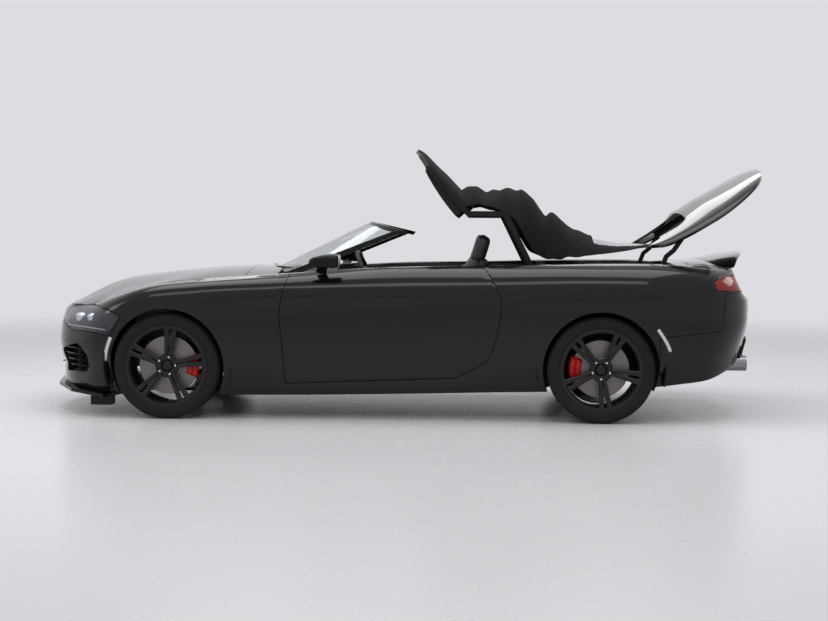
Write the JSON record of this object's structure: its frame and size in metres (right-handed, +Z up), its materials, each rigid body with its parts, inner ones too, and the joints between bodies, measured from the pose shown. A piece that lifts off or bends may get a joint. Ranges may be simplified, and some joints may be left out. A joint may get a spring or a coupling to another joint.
{
  "type": "two-door convertible sports car",
  "caption": "Two-door convertible sports car with its soft top half folded, storage lid raised, opening doors, hood and boot, and steered wheels.",
  "frame": {"origin": "on the ground, at the middle of the overall box's length and width", "axes": "+X forward, +Y to the car's left, +Z up"},
  "size_m": [4.8436, 2.04, 1.8084],
  "materials": {
    "body_paint": "deep gloss black",
    "black_trim": "gloss",
    "matte_black": "matte",
    "under_metal": "satin grey",
    "cloth": "woven black",
    "seat_leather": "black",
    "tyre_rubber": "matte",
    "rim_black": "gloss black",
    "disc_steel": "turned",
    "caliper_red": "gloss red",
    "lamp_clear": "clear lens",
    "lamp_red": "red lens",
    "glass": "clear",
    "cast": "as cast",
    "steel": "black chrome"
  },
  "bodies": {
    "body": {"floor_pan": "under_metal", "bulkheads": "under_metal", "boot_floor": "under_metal", "front_rails": "under_metal", "front_fenders": "body_paint", "side_panels": "body_paint", "front_bumper": "body_paint", "front_splitter": "black_trim", "grille": "black_trim", "headlamps": "lamp_clear", "windscreen_frame": "black_trim", "windscreen": "glass", "cowl": "matte_black", "dashboard": "matte_black", "steering_wheel": "matte_black", "front_seats": "seat_leather", "rear_seat": "seat_leather", "rear_bumper": "body_paint", "tail_lamps": "lamp_red", "diffuser": "black_trim", "exhaust": "steel", "engine": "cast", "radiator": "matte_black", "axles": "under_metal", "rear_calipers": "caliper_red", "wheel_liners": "matte_black", "roof_well": "matte_black", "roof_mounts": "under_metal"},
    "steering_left": {"knuckle_left": "cast", "caliper_left": "caliper_red"},
    "wheel_front_left": {"tyre_front_left": "tyre_rubber", "rim_front_left": "rim_black", "disc_front_left": "disc_steel"},
    "wheel_rear_left": {"tyre_rear_left": "tyre_rubber", "rim_rear_left": "rim_black", "disc_rear_left": "disc_steel"},
    "door_left": {"door_left": "body_paint", "mirror_left": "black_trim"},
    "steering_right": {"knuckle_right": "cast", "caliper_right": "caliper_red"},
    "wheel_front_right": {"tyre_front_right": "tyre_rubber", "rim_front_right": "rim_black", "disc_front_right": "disc_steel"},
    "wheel_rear_right": {"tyre_rear_right": "tyre_rubber", "rim_rear_right": "rim_black", "disc_rear_right": "disc_steel"},
    "door_right": {"door_right": "body_paint", "mirror_right": "black_trim"},
    "hood": {"hood": "body_paint"},
    "boot_lid": {"boot_lid": "body_paint"},
    "storage_lid": {"storage_lid": "body_paint", "storage_lid_frame": "under_metal"},
    "roof_main": {"roof_rear_rails": "under_metal"},
    "roof_middle": {"roof_mid_rails": "under_metal", "canvas_mid": "cloth"},
    "roof_front": {"roof_front_frame": "under_metal", "canvas_front": "cloth"},
    "rear_window": {"rear_window": "glass", "canvas_rear": "cloth"}
  },
  "joints": [
    {"name": "steer_left", "type": "hinge", "parent": "body", "child": "steering_left", "pos_m": [1.49281, 0.73, 0.345], "axis": [0, 0, 1], "range_deg": [-33, 33]},
    {"name": "wheel_front_left_spin", "type": "hinge", "parent": "steering_left", "child": "wheel_front_left", "pos_m": [1.49281, 0.8, 0.345], "axis": [0, 1, 0], "continuous": true},
    {"name": "wheel_rear_left_spin", "type": "hinge", "parent": "body", "child": "wheel_rear_left", "pos_m": [-1.31919, 0.8, 0.345], "axis": [0, 1, 0], "continuous": true},
    {"name": "door_left_hinge", "type": "hinge", "parent": "body", "child": "door_left", "pos_m": [0.74181, 0.905, 0.5], "axis": [0, 0, -1], "range_deg": [0, 65]},
    {"name": "steer_right", "type": "hinge", "parent": "body", "child": "steering_right", "pos_m": [1.49281, -0.73, 0.345], "axis": [0, 0, 1], "range_deg": [-33, 33]},
    {"name": "wheel_front_right_spin", "type": "hinge", "parent": "steering_right", "child": "wheel_front_right", "pos_m": [1.49281, -0.8, 0.345], "axis": [0, 1, 0], "continuous": true},
    {"name": "wheel_rear_right_spin", "type": "hinge", "parent": "body", "child": "wheel_rear_right", "pos_m": [-1.31919, -0.8, 0.345], "axis": [0, 1, 0], "continuous": true},
    {"name": "door_right_hinge", "type": "hinge", "parent": "body", "child": "door_right", "pos_m": [0.74181, -0.905, 0.5], "axis": [0, 0, 1], "range_deg": [0, 65]},
    {"name": "hood_hinge", "type": "hinge", "parent": "body", "child": "hood", "pos_m": [0.98681, 0, 0.98], "axis": [0, -1, 0], "range_deg": [0, 55]},
    {"name": "boot_lid_hinge", "type": "hinge", "parent": "body", "child": "boot_lid", "pos_m": [-1.91319, 0, 1.032], "axis": [0, 1, 0], "range_deg": [0, 50]},
    {"name": "storage_lid_tilt", "type": "hinge", "parent": "body", "child": "storage_lid", "pos_m": [-1.84919, 0, 1.18], "axis": [0, 1, 0], "range_deg": [-33, 0]},
    {"name": "roof_main_fold", "type": "hinge", "parent": "body", "child": "roof_main", "pos_m": [-0.91319, 0, 0.92], "axis": [0, -1, 0], "range_deg": [-13, 112]},
    {"name": "roof_middle_level", "type": "hinge", "parent": "roof_main", "child": "roof_middle", "pos_m": [-0.70319, 0, 1.345], "axis": [0, -1, 0], "range_deg": [-113, 14], "deforming": ["canvas_mid"]},
    {"name": "roof_front_fold", "type": "hinge", "parent": "roof_middle", "child": "roof_front", "pos_m": [-0.45819, 0, 1.345], "axis": [0, -1, 0], "range_deg": [-48, 132]},
    {"name": "rear_window_drop", "type": "slide", "parent": "body", "child": "rear_window", "axis": [0, 0, -1], "range_m": [-0.045, 0.34], "deforming": ["canvas_rear"]}
  ],
  "couplings": [
    {"joint": "steer_right", "follows": "steer_left", "ratio": 1},
    {"joint": "roof_middle_level", "follows": "roof_main_fold", "ratio": -1},
    {"joint": "rear_window_drop", "follows": "roof_main_fold", "m_per_rad": 0.165}
  ]
}
